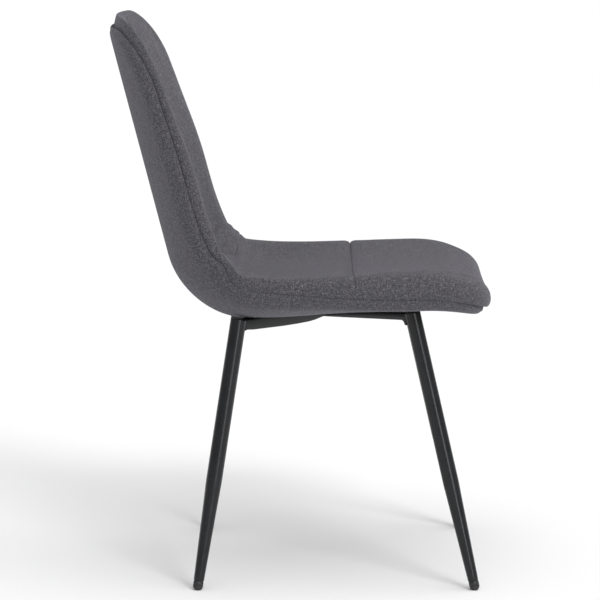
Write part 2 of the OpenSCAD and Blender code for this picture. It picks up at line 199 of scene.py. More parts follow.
class Outline:
    """A rounded outline on the shell, in x and t, a little inside or outside its edge."""

    def __init__(self, t0, t1, side, front_r=FRONT_CORNER_R):
        self.t0 = t0
        self.t1 = t1
        self.side = side
        self.front_r = front_r
        self.top_r = TOP_CORNER_R

    def half(self, t):
        return half_width(t) + self.side(t)

    def width_at(self, t):
        """Half width with the rounded corners taken off."""
        w = self.half(t)
        for d, r in ((t - self.t0, self.front_r), (self.t1 - t, self.top_r)):
            d = np.clip(d, 0, r)
            w = w - (r - np.sqrt(r * r - (r - d) ** 2))
        return w

    def inside(self, x, t):
        """Distance from a point to the outline, and the outline's outward direction."""
        w = self.half(t)
        best = None
        for qt, r, sign in ((self.t0 - t, self.front_r, -1.0), (t - self.t1, self.top_r, 1.0)):
            qx = np.abs(x) - (w - r)
            qt = qt + r
            corner = np.hypot(np.maximum(qx, 0), np.maximum(qt, 0))
            d = r - corner - np.minimum(np.maximum(qx, qt), 0)
            nx = np.where((qx > 0) & (qt > 0), qx, (qx >= qt) * 1.0)
            nt = np.where((qx > 0) & (qt > 0), qt, (qx < qt) * 1.0)
            size = np.hypot(nx, nt)
            nx = np.sign(x) * nx / size
            nt = sign * nt / size
            if best is None:
                best = (d, nx, nt)
            else:
                closer = d < best[0]
                best = tuple(np.where(closer, new, old) for new, old in zip((d, nx, nt), best))
        return best


def spread(a, b, n, ends=0.65):
    """n steps from a to b, closer together at both ends."""
    k = np.linspace(0, 1, n + 1)
    return a + (b - a) * ((1 - ends) * k + ends * (1 - np.cos(math.pi * k)) / 2)


def joined(*runs):
    """Runs of stations end to end, with each shared station once."""
    out = list(runs[0])
    for run in runs[1:]:
        out.extend(list(run)[1:])
    return np.array(out)


# ---------------------------------------------------------------- meshes

def make_object(name, verts, faces, smooth_shade=True):
    mesh = bpy.data.meshes.new(name)
    mesh.from_pydata([tuple(v) for v in verts], [], [tuple(f) for f in faces])
    mesh.validate()
    mesh.update()
    if smooth_shade:
        mesh.polygons.foreach_set("use_smooth", [True] * len(mesh.polygons))
    piece = bpy.data.objects.new(name, mesh)
    bpy.context.scene.collection.objects.link(piece)
    return piece


def face_outwards(piece):
    form = bmesh.new()
    form.from_mesh(piece.data)
    bmesh.ops.recalc_face_normals(form, faces=form.faces)
    form.to_mesh(piece.data)
    form.free()


def grid_faces(rows, cols, start=0):
    faces = []
    for i in range(rows - 1):
        for j in range(cols - 1):
            a = start + i * cols + j
            faces.append((a, a + 1, a + cols + 1, a + cols))
    return faces


def border_loop(rows, cols):
    """Indices round a grid, in the order of its top face's edges."""
    loop = [(0, j) for j in range(cols)]
    loop += [(i, cols - 1) for i in range(1, rows)]
    loop += [(rows - 1, j) for j in range(cols - 2, -1, -1)]
    loop += [(i, 0) for i in range(rows - 2, 0, -1)]
    return loop


def closed_from_rings(name, top, rings, base):
    """A closed mesh: a grid of points, rings round its border, and a base grid."""
    rows, cols = top.shape[:2]
    verts = [top.reshape(-1, 3)]
    faces = grid_faces(rows, cols)
    loop = border_loop(rows, cols)
    n = len(loop)
    ring_ids = [np.array([i * cols + j for i, j in loop])]
    start = rows * cols
    for ring in rings:
        verts.append(ring)
        ring_ids.append(np.arange(start, start + n))
        start += n
    verts.append(base.reshape(-1, 3))
    ring_ids.append(np.array([start + i * cols + j for i, j in loop]))
    faces += grid_faces(rows, cols, start)
    for upper, lower in zip(ring_ids[:-1], ring_ids[1:]):
        for k in range(n):
            m = (k + 1) % n
            faces.append((upper[m], upper[k], lower[k], lower[m]))
    piece = make_object(name, np.concatenate(verts), faces)
    face_outwards(piece)
    return piece


# ---------------------------------------------------------------- outer cover

COVER_OUTLINE = Outline(SHELL_FRONT, T_TOP, lambda t: 0 * t)


def dart(x, t):
    """The short dart under each corner of the bend, where the cover is taken in."""
    d, _, _ = COVER_OUTLINE.inside(x, t)
    line = T_BEND + 0.040 + 0.55 * d
    return bell((t - line) / 0.0028) * smooth((0.050 - d) / 0.03)


def at_border(loop, *fields):
    """The values of each field at the points of a border loop."""
    rows = np.array([i for i, _ in loop])
    cols = np.array([j for _, j in loop])
    return [f[rows, cols] for f in fields]


def seam_depth(nt):
    """Depth of the seam round the shell, which runs lower along the top edge."""
    return SEAM_H - SEAM_DROP * np.clip(nt, 0, 1) ** 2


def make_outer_cover():
    """Fabric over the back and underside, turned in along a seam at its edge."""
    bend_start, bend_end = T_BEND - 0.02, T_BACK + 0.02
    ts = joined(spread(SHELL_FRONT, bend_start, 70), spread(bend_start, bend_end, 60, 0.2),
                spread(bend_end, T_TOP, 70))
    ks = spread(-1.0, 1.0, 110, 0.75)
    t, k = np.meshgrid(ts, ks, indexing="ij")
    x = k * COVER_OUTLINE.width_at(t)
    d, nx, nt = COVER_OUTLINE.inside(x, t)
    d = np.maximum(d, 0)
    edge_h = seam_depth(nt) - RIM_R
    h = edge_h * (1 - roll(d, SHELL_EDGE_R)) + 0.0022 * dart(x, t)
    h = h + 0.0009 * smooth((0.0085 - d) / 0.002) * smooth(d / 0.004)
    outer = shell_point(x, t, h)
    bx, bt, bnx, bnt, b_edge = at_border(border_loop(*x.shape), x, t, nx, nt, edge_h)
    rings = []
    for degrees in (30, 60, 90, 130, 180):
        a = math.radians(degrees)
        inset = RIM_TURN * (1 - math.cos(a)) / 2
        depth = b_edge + RIM_R * math.sin(min(a, math.pi / 2))
        rings.append(shell_point(bx - bnx * inset, bt - bnt * inset, depth))
    shrink = 1 - COVER_IN / COVER_OUTLINE.half(t)
    inner_t = t + COVER_IN * (1 - 2 * (t - SHELL_FRONT) / (T_TOP - SHELL_FRONT))
    inner = shell_point(x * shrink, inner_t, h + COVER_T)
    return closed_from_rings("outer_cover_shell", outer, rings, inner)


# ---------------------------------------------------------------- pads

PAD_OUTLINE = Outline(PAD_FRONT, PAD_TOP,
                      lambda t: 0.003 - 0.004 * smooth((t - T_BEND) / BACK_BLEND),
                      front_r=FRONT_CORNER_R + 0.003)


def groove(distance, depth, r):
    """Depth of a rounded groove at a distance from its middle."""
    return depth * (1 - roll(np.abs(distance), r))


def pad_depth(x, t):
    """Depth of the pads' face before any seam is drawn in."""
    d, nx, nt = PAD_OUTLINE.inside(x, t)
    on_back = smooth((t - T_BEND) / BACK_BLEND)
    side_r = PAD_SIDE_R + 0.011 * on_back
    end_r = np.where(nt < 0, PAD_FRONT_R, PAD_TOP_R)
    r = side_r * nx ** 2 + end_r * nt ** 2
    bulge = (BULGE_H - 0.006 * on_back - 0.007 * np.clip(nt, 0, 1) ** 2
             + 0.001 * np.clip(-nt, 0, 1) ** 2)
    near = np.where(t < T_CREASE, (T_CREASE - t) / 0.09, (t - T_CREASE) / 0.14)
    top = (PAD_H + CREASE_FILL * (1 - smooth(near)) - 0.004 * smooth((t - 0.19) / 0.14)
           - 0.006 * on_back - 0.014 * smooth((t - 0.64) / 0.24)
           - 0.006 * smooth((t - 0.80) / 0.08) + 0.0036 * bell((t - 0.135) / 0.075))
    h = bulge + (top - bulge) * roll(np.maximum(d, 0), r)
    # A soft ceiling over the shell's middle line, so that its raised sides don't lift the face.
    limit = (0.0775 + 0.019 * smooth((t - 0.36) / 0.17) + 0.009 * bell((t - 0.42) / 0.05)
             + 0.05 * smooth((t - 0.60) / 0.06) - side_lift(x, t))
    return limit - 0.004 * np.logaddexp(0, (limit - h) / 0.004)


def seat_depth(x, t):
    return (pad_depth(x, t) - groove(t - SEAM_T, *CROSS_GROOVE)
            - groove(T_CREASE - t, *CREASE_GROOVE))


def back_depth(x, t):
    lobes = 0.0025 * np.cos(np.clip(x / CHANNEL_X, -1, 1) * math.pi / 2)
    side_fade = smooth((t - T_CREASE) / 0.03)
    top_fade = 1 - 0.6 * smooth((t - 0.64) / 0.20)
    edge_fade = 0.1 + 0.9 * smooth((PAD_TOP - t) / 0.035)
    return (pad_depth(x, t) + lobes * side_fade * edge_fade
            - groove(np.abs(x) - CHANNEL_X, *CHANNEL_GROOVE) * (0.4 + 0.6 * side_fade)
            * top_fade * edge_fade
            - groove(t - T_CREASE, *CREASE_GROOVE))


class Pad:
    """A grid over one pad: its stations, its points, and which of them are sewn down."""

    def __init__(self, ts, ks, x_of, depth, sewn_rows, sewn_cols):
        t, k = np.meshgrid(ts, ks, indexing="ij")
        self.t = t
        self.x = x_of(k, t)
        self.h = depth(self.x, t)
        self.d, self.nx, self.nt = PAD_OUTLINE.inside(self.x, t)
        self.points = shell_point(self.x, t, self.h)
        self.sewn = np.zeros(t.shape, bool)
        self.sewn[list(sewn_rows)] = True
        self.sewn[:, list(sewn_cols)] = True

    def puff(self):
        """Cloth held along its seams and blown up a little, except close to the edge."""
        rows, cols = self.t.shape
        cloth = make_object("puffed_cloth", self.points.reshape(-1, 3), grid_faces(rows, cols))
        held = cloth.vertex_groups.new(name="sewn")
        held.add([int(i) for i in np.flatnonzero(self.sewn.ravel())], 1.0, "REPLACE")
        sim = cloth.modifiers.new("cloth", "CLOTH")
        sim.settings.quality = 6
        sim.settings.mass = 0.3
        sim.settings.tension_stiffness = 12
        sim.settings.compression_stiffness = 12
        sim.settings.shear_stiffness = 4
        sim.settings.bending_stiffness = 1.5
        sim.settings.vertex_group_mass = "sewn"
        sim.settings.shrink_min = 0.0
        sim.settings.use_pressure = True
        sim.settings.uniform_pressure_force = PUFF_PRESSURE
        sim.settings.effector_weights.gravity = 0
        sim.collision_settings.use_collision = False
        scene = bpy.context.scene
        for step in range(1, 21):
            scene.frame_set(step)
        solved = cloth.evaluated_get(bpy.context.evaluated_depsgraph_get())
        moved = np.zeros(rows * cols * 3)
        solved.data.vertices.foreach_get("co", moved)
        scene.frame_set(1)
        bpy.data.objects.remove(cloth)
        shift = moved.reshape(rows, cols, 3) - self.points
        size = np.maximum(np.linalg.norm(shift, axis=-1, keepdims=True), 1e-9)
        held_form = smooth(self.d / 0.05)[..., None]
        self.points = self.points + shift * held_form * np.minimum(1, PUFF_CAP / size)

    def panel(self, name, r0, r1, c0, c1):
        """One sewn panel as a closed piece, with its sides turned in to the shell's seam."""
        cut = (slice(r0, r1 + 1), slice(c0, c1 + 1))
        x, t, h, nx, nt, d = (f[cut] for f in (self.x, self.t, self.h, self.nx, self.nt, self.d))
        turn_in = 0.006 + 0.003 * nt ** 2 + 0.012 * np.clip(nt, 0, 1) ** 2
        shift = turn_in * bell(d / 0.03)
        floor_h = seam_depth(nt) - 0.001
        floor_h = floor_h + (PAD_BASE_H - floor_h) * smooth((d - 0.004) / 0.015)
        loop = border_loop(*x.shape)
        bx, bt, bh, bnx, bnt, bd, b_in, b_floor = at_border(
            loop, x, t, h, nx, nt, d, shift, floor_h)
        free = bd < 0.0005
        flat = 0.8 * np.clip(bnt, 0, 1) ** 2
        rings = []
        steps = 7
        for m in range(1, steps):
            a = m / steps * math.pi / 2
            inset = b_in * (1 - math.cos(a))
            side_h = bh - (bh - b_floor) * math.sin(a)
            seam_h = bh + (b_floor - bh) * m / steps
            sloped_h = bh + (b_floor - bh) * (1 - math.cos(a))
            side_h = side_h + (sloped_h - side_h) * flat
            depth = np.where(free, side_h, seam_h)
            rings.append(shell_point(bx - bnx * inset, bt - bnt * inset, depth))
        base = shell_point(x - nx * shift, t - nt * shift, floor_h)
        return closed_from_rings(name, self.points[cut], rings, base)


def make_seat_pad():
    """The seat pad: a front and a rear panel, joined by the cross seam."""
    front_rows = 64
    ts = joined(spread(PAD_FRONT, SEAM_T, front_rows), spread(SEAM_T, T_CREASE, 58))
    ks = spread(-1.0, 1.0, 104, 0.75)
    last = len(ts) - 1
    pad = Pad(ts, ks, lambda k, t: k * PAD_OUTLINE.width_at(t), seat_depth,
              (0, front_rows, last), (0, len(ks) - 1))
    pad.puff()
    return {
        "seat_cover_front": pad.panel("seat_pad_front", 0, front_rows, 0, len(ks) - 1),
        "seat_cover_rear": pad.panel("seat_pad_rear", front_rows, last, 0, len(ks) - 1),
    }


def make_back_pad():
    """The back pad: three upright channels, whose seams run over the top edge."""
    side, centre = 40, 34
    ks = joined(spread(-1.0, -CHANNEL_SHARE, side),
                spread(-CHANNEL_SHARE, CHANNEL_SHARE, centre),
                spread(CHANNEL_SHARE, 1.0, side))
    ts = spread(T_CREASE, PAD_TOP, 130, 0.75)

    def across(k, t):
        beyond = np.clip((np.abs(k) - CHANNEL_SHARE) / (1 - CHANNEL_SHARE), 0, 1)
        inner = np.minimum(np.abs(k) / CHANNEL_SHARE, 1) * CHANNEL_X
        return np.sign(k) * (inner + beyond * (PAD_OUTLINE.width_at(t) - CHANNEL_X))

    last_row, last_col = len(ts) - 1, len(ks) - 1
    pad = Pad(ts, ks, across, back_depth, (0, last_row), (0, side, side + centre, last_col))
    pad.puff()
    return {
        "back_cover_right": pad.panel("back_pad_right", 0, last_row, 0, side),
        "back_cover_centre": pad.panel("back_pad_centre", 0, last_row, side, side + centre),
        "back_cover_left": pad.panel("back_pad_left", 0, last_row, side + centre, last_col),
    }


# ---------------------------------------------------------------- frame and legs

def leg_line(end, side):
    """Foot and top of a leg's axis. The foot is the mount's place on the floor."""
    foot = FEET[f"foot_{end}_{side}"]
    y, z = LEG_TOPS[end]
    return foot, Vector((math.copysign(LEG_TOP_X, foot.x), y, z))


def tube_points(centres, radii, across, up, sides):
    """Rings of points round a line of centres."""
    angles = np.linspace(0, 2 * math.pi, sides, endpoint=False)
    rings = []
    for c, r in zip(centres, radii):
        rings.append([c + across * (r * math.cos(a)) + up * (r * math.sin(a)) for a in angles])
    return rings


def lathe(name, centres, radii, axis, sides=48):
    """A closed round piece along an axis, capped at both ends."""
    across = axis.orthogonal().normalized()
    up = axis.cross(across).normalized()
    rings = tube_points(centres, radii, across, up, sides)
    verts = [p for ring in rings for p in ring]
    faces = []
    for i in range(len(rings) - 1):
        for j in range(sides):
            m = (j + 1) % sides
            a, b = i * sides, (i + 1) * sides
            faces.append((a + j, a + m, b + m, b + j))
    faces.append(tuple(range(sides))[::-1])
    faces.append(tuple((len(rings) - 1) * sides + j for j in range(sides)))
    piece = make_object(name, verts, faces)
    face_outwards(piece)
    return piece


def leg_radius(s):
    """Radius at distance s up a leg: a straight tube, drawn in towards the foot."""
    k = min(max((TAPER_LEN - s) / TAPER_LEN, 0), 1)
    blend = 0.12
    k = k - blend * 0.5 * math.exp(-k / blend) + blend * 0.5 if k > 0 else 0
    return LEG_R - (LEG_R - LEG_FOOT_R) * k / (1 + blend * 0.5)


def make_leg(end, side):
    foot, top = leg_line(end, side)
    axis = (top - foot).normalized()
    length = (top - foot).length
    stations = [GLIDE_LEN, GLIDE_LEN + 0.0006, GLIDE_LEN + 0.0016]
    stations += list(np.linspace(GLIDE_LEN + 0.01, TAPER_LEN + 0.01, 24))
    stations += list(np.linspace(TAPER_LEN + 0.05, length - 0.004, 6))
    stations += [length - 0.0015, length - 0.0004, length]
    radii = [leg_radius(s) for s in stations]
    for i, less in ((0, 0.0007), (1, 0.0002), (-2, 0.0002), (-1, 0.0008)):
        radii[i] -= less
    return lathe(f"tapered_leg_{end}_{side}", [foot + axis * s for s in stations], radii, axis)


def make_glide(end, side):
    """The moulded glide in a leg's end: a short collar over a dome with a flat underside."""
    foot, top = leg_line(end, side)
    axis = (top - foot).normalized()
    flat_r = math.sqrt(GLIDE_BALL_R ** 2 - GLIDE_BALL_Z ** 2)
    rings, centres = [], []
    low = math.asin(-GLIDE_BALL_Z / GLIDE_BALL_R)
    ball = foot + axis * (GLIDE_BALL_Z / axis.z)
    for a in np.linspace(low, 0.12, 12):
        centres.append(ball + Vector((0, 0, GLIDE_BALL_R * math.sin(a))))
        rings.append(GLIDE_BALL_R * math.cos(a))
    rings[0] = flat_r
    dome = lathe(f"foot_dome_{end}_{side}", centres, rings, UP, 40)
    collar_s = [GLIDE_BALL_Z / axis.z, GLIDE_LEN - 0.0012, GLIDE_LEN - 0.0004, GLIDE_LEN + 0.004]
    collar_r = [LEG_FOOT_R + 0.0002, LEG_FOOT_R + 0.0002, LEG_FOOT_R - 0.0005, LEG_FOOT_R - 0.0016]
    collar = lathe(f"foot_collar_{end}_{side}", [foot + axis * s for s in collar_s], collar_r,
                   axis, 40)
    return dome, collar


def round_edges(piece):
    bevel = piece.modifiers.new("bevel", "BEVEL")
    bevel.width = BAR_EDGE_R
    bevel.segments = 4
    bevel.limit_method = "ANGLE"
    bevel.angle_limit = math.radians(40)
    apply_modifiers(piece)


def apply_modifiers(piece):
    solved = piece.evaluated_get(bpy.context.evaluated_depsgraph_get())
    mesh = bpy.data.meshes.new_from_object(solved)
    old = piece.data
    piece.modifiers.clear()
    piece.data = mesh
    bpy.data.meshes.remove(old)


def arc_points(cx, cz, r, a0, a1, n):
    steps = np.linspace(math.radians(a0), math.radians(a1), n)
    return [(cx + r * math.cos(a), cz + r * math.sin(a)) for a in steps]


def front_edge(length):
    """Lower edge of a front arm, outwards, with the fillet into the leg, then its end."""
    low = CROSS_LOW + 0.016
    end = length - 0.006
    r = 0.008
    return ([(LEVEL_END, CROSS_LOW)] + arc_points(end - r, low - r, r, 90, 10, 9)
            + [(length - 0.002, low - r + 0.001), (length - 0.002, CROSS_TOP + 0.016),
               (LEVEL_END, CROSS_TOP)])


def rear_edge(length):
    """Lower edge of a rear arm, which gets deeper towards the leg, then its end."""
    return [(LEVEL_END, CROSS_LOW), (0.024, 0.3893), (0.036, 0.3876), (0.050, 0.3867),
            (0.080, 0.3867), (0.112, 0.3874), (length - 0.024, 0.3905), (length - 0.010, 0.392),
            (length - 0.002, 0.391), (length - 0.002, CROSS_TOP + 0.006),
            (LEVEL_END, CROSS_TOP)]


def make_bar(name, outline, start, angle):
    """An upright outline given the bars' width, standing on the line at angle from start."""
    along = Vector((math.cos(angle), math.sin(angle), 0))
    side = Vector((-math.sin(angle), math.cos(angle), 0))
    n = len(outline)
    verts = []
    for s in (-0.5, 0.5):
        for r, z in outline:
            verts.append(start + along * r + side * (s * BAR_W) + UP * z)
    faces = [tuple(range(n))[::-1], tuple(range(n, 2 * n))]
    faces += [(i, (i + 1) % n, n + (i + 1) % n, n + i) for i in range(n)]
    piece = make_object(name, verts, faces, smooth_shade=False)
    face_outwards(piece)
    round_edges(piece)
    shade_by_angle(piece)
    return piece


def shade_by_angle(piece):
    """Smooth faces, with the edges that turn by more than 35 degrees kept sharp."""
    piece.data.polygons.foreach_set("use_smooth", [True] * len(piece.data.polygons))
    form = bmesh.new()
    form.from_mesh(piece.data)
    for edge in form.edges:
        edge.smooth = not (edge.is_manifold and edge.calc_face_angle(0) > math.radians(35))
    form.to_mesh(piece.data)
    form.free()


def make_frame():
    """The long bar and the two half arms that are welded to its sides."""
    tops = {(end, side): leg_line(end, side)[1] for end in ("front", "rear")
            for side in ("left", "right")}
    cross = (tops["front", "left"] + tops["rear", "right"]) / 2
    cross.z = 0
    cross.x = 0

    def arm(end, side):
        to = tops[end, side] - cross
        return math.hypot(to.x, to.y), math.atan2(to.y, to.x)

    front_len, front_angle = arm("front", "left")
    rear_len, _ = arm("rear", "right")
    outline = ([(0, CROSS_LOW)] + front_edge(front_len) + [(0, CROSS_TOP)]
               + [(-r, z) for r, z in reversed(rear_edge(rear_len))])
    pieces = {"cross_bar": make_bar("long_cross_bar", outline, cross, front_angle)}
    for node, end, side, edge in (("cross_arm_front", "front", "right", front_edge),
                                  ("cross_arm_rear", "rear", "left", rear_edge)):
        length, angle = arm(end, side)
        half = [(ARM_START, CROSS_LOW)] + edge(length) + [(ARM_START, CROSS_TOP)]
        pieces[node] = make_bar(f"{node}_half", half, cross, angle)
    for node, end, side in (("cross_bar", "front", "left"), ("cross_bar", "rear", "right"),
                            ("cross_arm_front", "front", "right"),
                            ("cross_arm_rear", "rear", "left")):
        _, angle = arm(end, side)
        place = cross + BOLT_R * Vector((math.cos(angle), math.sin(angle), 0))
        counterbore(pieces[node], place, BOLT_SEATS[end])
    return pieces


def counterbore(piece, place, seat_z):
    """The round pocket from below that a bolt's head and washer sit in."""
    drill = lathe("drill", [place + UP * DRILL_FROM, place + UP * seat_z],
                  [POCKET_R, POCKET_R], UP)
    cut = piece.modifiers.new("pocket", "BOOLEAN")
    cut.operation = "DIFFERENCE"
    cut.solver = "EXACT"
    cut.object = drill
    apply_modifiers(piece)
    bpy.data.objects.remove(drill)
    shade_by_angle(piece)


# ---------------------------------------------------------------- material helpers

def new_group(name, inputs, outputs):
    """A node group with its sockets, and its own input and output nodes."""
    group = bpy.data.node_groups.new(name, "ShaderNodeTree")
    for label, kind, value in inputs:
        socket = group.interface.new_socket(label, in_out="INPUT", socket_type=kind)
        socket.default_value = value
    for label, kind in outputs:
        group.interface.new_socket(label, in_out="OUTPUT", socket_type=kind)
    return group, group.nodes.new("NodeGroupInput"), group.nodes.new("NodeGroupOutput")


def node(tree, kind, links=(), **settings):
    """A node with its settings, and its inputs joined or set by name or number."""
    made = tree.nodes.new(kind)
    values = settings.pop("values", {})
    for key, value in settings.items():
        setattr(made, key, value)
    for key, value in values.items():
        made.inputs[key].default_value = value
    for key, source in links:
        tree.links.new(source, made.inputs[key])
    return made


def math_node(tree, operation, a, b=None, clamp=False):
    made = tree.nodes.new("ShaderNodeMath")
    made.operation = operation
    made.use_clamp = clamp
    for i, value in enumerate((a, b)):
        if value is None:
            continue
        if isinstance(value, (int, float)):
            made.inputs[i].default_value = value
        else:
            tree.links.new(value, made.inputs[i])
    return made.outputs[0]


def ramp(tree, source, stops):
    made = tree.nodes.new("ShaderNodeValToRGB")
    elements = made.color_ramp.elements
    while len(elements) < len(stops):
        elements.new(0.5)
    for element, (place, colour) in zip(elements, stops):
        element.position = place
        element.color = (*colour, 1)
    tree.links.new(source, made.inputs[0])
    return made.outputs[0]


def mixed(tree, factor, a, b, kind="RGBA"):
    made = tree.nodes.new("ShaderNodeMix")
    made.data_type = kind
    first = {"RGBA": 6, "VECTOR": 4, "FLOAT": 2}[kind]
    for place, value in ((0, factor), (first, a), (first + 1, b)):
        if isinstance(value, (int, float, tuple)):
            made.inputs[place].default_value = value
        else:
            tree.links.new(value, made.inputs[place])
    return made.outputs[{"RGBA": 2, "VECTOR": 1, "FLOAT": 0}[kind]]


def cloth_plane_group():
    """Two-way coordinates that lie in the cloth: across and along its nearest plane."""
    group, _, outside = new_group("cloth_plane", [], [("Plane", "NodeSocketVector")])
    place = node(group, "ShaderNodeTexCoord")
    way = node(group, "ShaderNodeNewGeometry")
    split = node(group, "ShaderNodeSeparateXYZ", [(0, place.outputs["Object"])])
    facing = node(group, "ShaderNodeSeparateXYZ", [(0, way.outputs["True Normal"])])
    x, y, z = split.outputs
    ax, ay, az = (math_node(group, "ABSOLUTE", c) for c in facing.outputs)
    from_side = node(group, "ShaderNodeCombineXYZ", [(0, y), (1, z)]).outputs[0]
    from_top = node(group, "ShaderNodeCombineXYZ", [(0, x), (1, y)]).outputs[0]
    from_front = node(group, "ShaderNodeCombineXYZ", [(0, x), (1, z)]).outputs[0]
    level = math_node(group, "GREATER_THAN", az, ay)
    flat = mixed(group, level, from_front, from_top, "VECTOR")
    sideways = math_node(group, "GREATER_THAN", ax, 0.72)
    group.links.new(mixed(group, sideways, flat, from_side, "VECTOR"), outside.inputs[0])
    return group


def heather_group():
    """A heathered plain weave: short dark and light dashes of yarn, and its relief."""
    group, inside, outside = new_group(
        "heathered_weave",
        [("Yarns per metre", "NodeSocketFloat", 900.0), ("Dark", "NodeSocketColor", (0, 0, 0, 1)),
         ("Middle", "NodeSocketColor", (0, 0, 0, 1)), ("Light", "NodeSocketColor", (0, 0, 0, 1))],
        [("Color", "NodeSocketColor"), ("Height", "NodeSocketFloat")])
    plane = node(group, "ShaderNodeGroup", node_tree=cloth_plane_group()).outputs[0]
    place = node(group, "ShaderNodeTexCoord").outputs["Object"]
    yarns = node(group, "ShaderNodeVectorMath", [(0, plane)], operation="SCALE")
    group.links.new(inside.outputs[0], yarns.inputs[3])
    warp_way = node(group, "ShaderNodeVectorMath", [(0, yarns.outputs[0])],
                    operation="MULTIPLY", values={1: (0.16, 0.9, 0.5)}).outputs[0]
    weft_way = node(group, "ShaderNodeVectorMath", [(0, yarns.outputs[0])],
                    operation="MULTIPLY", values={1: (0.9, 0.16, 0.5)}).outputs[0]
    warp = node(group, "ShaderNodeTexNoise", [("Vector", warp_way)],
                values={"Scale": 1.0, "Detail": 2.0, "Roughness": 0.6}).outputs["Fac"]
    weft = node(group, "ShaderNodeTexNoise", [("Vector", weft_way)],
                values={"Scale": 1.0, "Detail": 2.0, "Roughness": 0.6}).outputs["Fac"]
    knots = node(group, "ShaderNodeTexChecker", [("Vector", yarns.outputs[0])],
                 values={"Scale": 1.0}).outputs["Fac"]
    yarn = mixed(group, knots, warp, weft, "FLOAT")
    drawn = node(group, "ShaderNodeVectorMath", [(0, place)], operation="MULTIPLY",
                 values={1: (0.34, 1.0, 1.0)}).outputs[0]
    speck = node(group, "ShaderNodeTexNoise", [("Vector", drawn)],
                 values={"Scale": 900.0, "Detail": 2.0, "Roughness": 0.6}).outputs["Fac"]
    cloud = node(group, "ShaderNodeTexNoise", [("Vector", drawn)],
                 values={"Scale": 400.0, "Detail": 3.0, "Roughness": 0.7}).outputs["Fac"]
    blend = math_node(group, "ADD", math_node(group, "MULTIPLY", speck, 0.42),
                      math_node(group, "MULTIPLY", cloud, 0.25))
    tone = math_node(group, "ADD", math_node(group, "MULTIPLY", yarn, 0.33), blend)
    low = math_node(group, "MULTIPLY", math_node(group, "SUBTRACT", 0.5, tone), 7.0, True)
    high = math_node(group, "MULTIPLY", math_node(group, "SUBTRACT", tone, 0.5), 7.0, True)
    darkened = mixed(group, low, inside.outputs["Middle"], inside.outputs["Dark"])
    group.links.new(mixed(group, high, darkened, inside.outputs["Light"]), outside.inputs[0])
    split = node(group, "ShaderNodeSeparateXYZ", [(0, yarns.outputs[0])])
    waves = [math_node(group, "SINE", math_node(group, "MULTIPLY", c, math.pi))
             for c in split.outputs[:2]]
    crossing = math_node(group, "ABSOLUTE", math_node(group, "MULTIPLY", *waves))
    relief = math_node(group, "ADD", math_node(group, "MULTIPLY", crossing, 0.55),
                       math_node(group, "MULTIPLY", tone, 0.45))
    group.links.new(relief, outside.inputs[1])
    return group


def coat_group():
    """Fine orange peel and faint handling marks of a sprayed or moulded surface."""
    group, inside, outside = new_group(
        "fine_texture",
        [("Grain", "NodeSocketFloat", 900.0), ("Roughness", "NodeSocketFloat", 0.4),
         ("Spread", "NodeSocketFloat", 0.1)],
        [("Roughness", "NodeSocketFloat"), ("Height", "NodeSocketFloat"),
         ("Marks", "NodeSocketFloat")])
    place = node(group, "ShaderNodeTexCoord").outputs["Object"]
    grain = node(group, "ShaderNodeTexNoise", [("Vector", place), ("Scale", inside.outputs[0])],
                 values={"Detail": 3.0}).outputs["Fac"]
    marks = node(group, "ShaderNodeTexNoise", [("Vector", place)],
                 values={"Scale": 38.0, "Detail": 5.0, "Roughness": 0.7}).outputs["Fac"]
    swing = math_node(group, "MULTIPLY", math_node(group, "SUBTRACT", marks, 0.5),
                      inside.outputs["Spread"])
    group.links.new(math_node(group, "ADD", inside.outputs["Roughness"], swing),
                    outside.inputs[0])
    group.links.new(grain, outside.inputs[1])
    group.links.new(marks, outside.inputs[2])
    return group


def new_material(name):
    made = bpy.data.materials.new(name)
    made.use_nodes = True
    tree = made.node_tree
    return made, tree, tree.nodes["Principled BSDF"]


def bump(tree, shader, height, strength, distance):
    made = node(tree, "ShaderNodeBump", [("Height", height)],
                values={"Strength": strength, "Distance": distance})
    tree.links.new(made.outputs[0], shader.inputs["Normal"])


def grey_violet(value):
    return (value * 0.985, value * 0.95, value * 1.06, 1)


def fabric_material(heather):
    made, tree, shader = new_material("heathered_fabric")
    weave = node(tree, "ShaderNodeGroup", node_tree=heather, values={
        "Yarns per metre": 820.0, "Dark": grey_violet(0.018), "Middle": grey_violet(0.064),
        "Light": grey_violet(0.210)})
    tree.links.new(weave.outputs["Color"], shader.inputs["Base Color"])
    shader.inputs["Roughness"].default_value = 0.92
    shader.inputs["Specular IOR Level"].default_value = 0.22
    shader.inputs["Sheen Weight"].default_value = 0.22
    shader.inputs["Sheen Roughness"].default_value = 0.45
    shader.inputs["Sheen Tint"].default_value = (0.80, 0.78, 0.90, 1)
    bump(tree, shader, weave.outputs["Height"], 0.55, 0.0007)
    return made


def lining_material(heather):
    made, tree, shader = new_material("nonwoven_lining")
    weave = node(tree, "ShaderNodeGroup", node_tree=heather, values={
        "Yarns per metre": 500.0, "Dark": (0.008, 0.008, 0.009, 1),
        "Middle": (0.014, 0.014, 0.015, 1), "Light": (0.03, 0.03, 0.032, 1)})
    tree.links.new(weave.outputs["Color"], shader.inputs["Base Color"])
    shader.inputs["Roughness"].default_value = 0.95
    bump(tree, shader, weave.outputs["Height"], 0.4, 0.0004)
    return made


